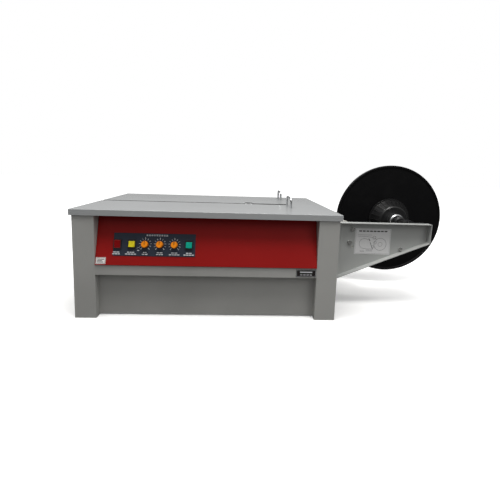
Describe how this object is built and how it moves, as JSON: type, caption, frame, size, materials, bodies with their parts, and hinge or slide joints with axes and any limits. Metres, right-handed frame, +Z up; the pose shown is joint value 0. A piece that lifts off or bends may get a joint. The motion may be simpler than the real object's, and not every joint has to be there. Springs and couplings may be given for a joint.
{
  "type": "semi automatic strapping machine",
  "caption": "Low-table semi automatic strapping machine with slotted grey table, red slanted control panel, sealing head and side-mounted strap reel.",
  "frame": {"origin": "on the floor, under the centre of the table", "axes": "+X to the operator's right towards the reel, +Y away from the operator, +Z up"},
  "size_m": [1.484, 0.58, 0.546],
  "materials": {
    "table_paint": "satin light grey",
    "grey_paint": "satin warm grey",
    "red_paint": "satin deep red",
    "chrome": "polished",
    "steel": "ground",
    "dark_steel": "black oxide",
    "zinc": "bright zinc",
    "slate_plate": "printed film",
    "black_plastic": "fine grain",
    "red_plastic": "gloss",
    "yellow_plastic": "gloss",
    "green_plastic": "gloss",
    "orange_plastic": "gloss",
    "black_plate": "satin",
    "paper": "printed film",
    "white_plastic": "turned",
    "rubber": "matte",
    "reel_plastic": "moulded",
    "cast": "cast",
    "aluminium": "machined",
    "brass": "ground",
    "board": "lacquered"
  },
  "bodies": {
    "cabinet": {"table_top": "table_paint", "guide_loops": "chrome", "strap_channel": "steel", "left_side_frame": "grey_paint", "right_side_frame": "grey_paint", "front_rail": "grey_paint", "front_lower_panel": "grey_paint", "base_plate": "grey_paint", "rear_panel": "grey_paint", "rear_panel_screws": "zinc", "front_control_panel": "red_paint", "control_plate": "slate_plate", "switch_housings": "black_plastic", "potentiometers": "black_plastic", "nameplate": "black_plate", "front_reel_arm": "grey_paint", "rear_reel_arm": "grey_paint", "instruction_sheet": "paper", "arm_bolts": "zinc", "arm_spindles": "zinc", "brake_spring": "steel", "shaft_saddles": "steel", "head_frame": "cast", "head_block": "aluminium", "reducer_gearbox": "aluminium", "drive_belt": "rubber", "main_motor": "dark_steel", "feed_bracket": "grey_paint", "feed_motor": "dark_steel", "strap_chute": "steel", "strap_entry_guide": "black_plastic", "transformer": "dark_steel", "circuit_board": "board"},
    "reel": {"reel_shaft": "steel", "reel_flange": "reel_plastic", "reel_hub": "reel_plastic", "hub_collar": "steel", "hub_nut": "black_plastic"},
    "brake_lever": {"brake_lever": "steel", "brake_pad": "rubber"},
    "dancer_roller": {"dancer_roller": "white_plastic"},
    "upper_guide_roller": {"upper_guide_roller": "white_plastic"},
    "lower_guide_roller": {"lower_guide_roller": "white_plastic"},
    "shaft_latch": {"shaft_latch": "dark_steel"},
    "power_rocker": {"power_rocker": "red_plastic"},
    "yellow_button": {"yellow_button": "yellow_plastic"},
    "green_button": {"green_button": "green_plastic"},
    "time_knob": {"time_knob": "orange_plastic"},
    "tension_knob": {"tension_knob": "orange_plastic"},
    "heat_knob": {"heat_knob": "orange_plastic"},
    "slide_plate": {"slide_plate": "steel"},
    "cam_shaft": {"cam_shaft": "steel"},
    "left_gripper": {"left_gripper": "steel"},
    "press_cutter": {"press_cutter": "steel"},
    "right_gripper": {"right_gripper": "steel"},
    "heater_arm": {"heater_arm": "brass"},
    "reducer_input": {"reducer_pulley": "cast"},
    "motor_rotor": {"motor_pulley": "cast"},
    "feed_roller": {"feed_roller": "steel"},
    "pinch_roller": {"pinch_roller": "rubber"}
  },
  "joints": [
    {"name": "reel_spin", "type": "hinge", "parent": "cabinet", "child": "reel", "pos_m": [0.792, 0, 0.304], "axis": [0, 1, 0], "continuous": true},
    {"name": "brake_lever_swing", "type": "hinge", "parent": "cabinet", "child": "brake_lever", "pos_m": [0.733, -0.075, 0.221], "axis": [0, -1, 0], "range_deg": [0, 10]},
    {"name": "dancer_roller_spin", "type": "hinge", "parent": "brake_lever", "child": "dancer_roller", "pos_m": [0.585, -0.018, 0.205], "axis": [0, 1, 0], "continuous": true},
    {"name": "upper_roller_spin", "type": "hinge", "parent": "cabinet", "child": "upper_guide_roller", "pos_m": [0.54, -0.018, 0.296], "axis": [0, 1, 0], "continuous": true},
    {"name": "lower_roller_spin", "type": "hinge", "parent": "cabinet", "child": "lower_guide_roller", "pos_m": [0.53, -0.018, 0.245], "axis": [0, 1, 0], "continuous": true},
    {"name": "shaft_latch_swing", "type": "hinge", "parent": "cabinet", "child": "shaft_latch", "pos_m": [0.825, -0.115, 0.302], "axis": [0, 1, 0], "range_deg": [0, 100]},
    {"name": "power_rocker_tip", "type": "hinge", "parent": "cabinet", "child": "power_rocker", "pos_m": [-0.3004, -0.27188, 0.25389], "axis": [-1, 0, 0], "range_deg": [0, 16]},
    {"name": "yellow_button_press", "type": "slide", "parent": "cabinet", "child": "yellow_button", "axis": [0, 0.9642, -0.2652], "range_m": [0, 0.003]},
    {"name": "green_button_press", "type": "slide", "parent": "cabinet", "child": "green_button", "axis": [0, 0.9642, -0.2652], "range_m": [0, 0.003]},
    {"name": "time_knob_turn", "type": "hinge", "parent": "cabinet", "child": "time_knob", "pos_m": [-0.2098, -0.27044, 0.25349], "axis": [0, -0.9642, 0.2652], "range_deg": [-140, 140]},
    {"name": "tension_knob_turn", "type": "hinge", "parent": "cabinet", "child": "tension_knob", "pos_m": [-0.161, -0.27044, 0.25349], "axis": [0, -0.9642, 0.2652], "range_deg": [-140, 140]},
    {"name": "heat_knob_turn", "type": "hinge", "parent": "cabinet", "child": "heat_knob", "pos_m": [-0.1126, -0.27044, 0.25349], "axis": [0, -0.9642, 0.2652], "range_deg": [-140, 140]},
    {"name": "slide_plate_retract", "type": "slide", "parent": "cabinet", "child": "slide_plate", "axis": [0, 1, 0], "range_m": [0, 0.026]},
    {"name": "cam_shaft_turn", "type": "hinge", "parent": "cabinet", "child": "cam_shaft", "pos_m": [0.1425, -0.018, 0.225], "axis": [1, 0, 0], "range_deg": [0, 150]},
    {"name": "left_gripper_lift", "type": "slide", "parent": "cabinet", "child": "left_gripper", "axis": [0, 0, 1], "range_m": [0, 0.008]},
    {"name": "press_lift", "type": "slide", "parent": "cabinet", "child": "press_cutter", "axis": [0, 0, 1], "range_m": [0, 0.008]},
    {"name": "right_gripper_lift", "type": "slide", "parent": "cabinet", "child": "right_gripper", "axis": [0, 0, 1], "range_m": [0, 0.008]},
    {"name": "heater_swing", "type": "hinge", "parent": "cabinet", "child": "heater_arm", "pos_m": [0.216, -0.055, 0.355], "axis": [0, 0, 1], "range_deg": [-24, 0]},
    {"name": "reducer_input_spin", "type": "hinge", "parent": "cabinet", "child": "reducer_input", "pos_m": [0.005, 0.047, 0.175], "axis": [0, 1, 0], "continuous": true},
    {"name": "motor_spin", "type": "hinge", "parent": "cabinet", "child": "motor_rotor", "pos_m": [-0.17, 0.047, 0.115], "axis": [0, 1, 0], "continuous": true},
    {"name": "feed_roller_spin", "type": "hinge", "parent": "cabinet", "child": "feed_roller", "pos_m": [0.33, -0.018, 0.245], "axis": [0, 1, 0], "continuous": true},
    {"name": "pinch_roller_spin", "type": "hinge", "parent": "cabinet", "child": "pinch_roller", "pos_m": [0.2894, -0.018, 0.245], "axis": [0, 1, 0], "continuous": true}
  ],
  "couplings": [
    {"joint": "left_gripper_lift", "follows": "cam_shaft_turn", "m_per_rad": 0.003055},
    {"joint": "press_lift", "follows": "cam_shaft_turn", "m_per_rad": 0.003055},
    {"joint": "right_gripper_lift", "follows": "cam_shaft_turn", "m_per_rad": 0.003055},
    {"joint": "motor_spin", "follows": "reducer_input_spin", "ratio": 1.9643},
    {"joint": "pinch_roller_spin", "follows": "feed_roller_spin", "ratio": -1.6667}
  ]
}
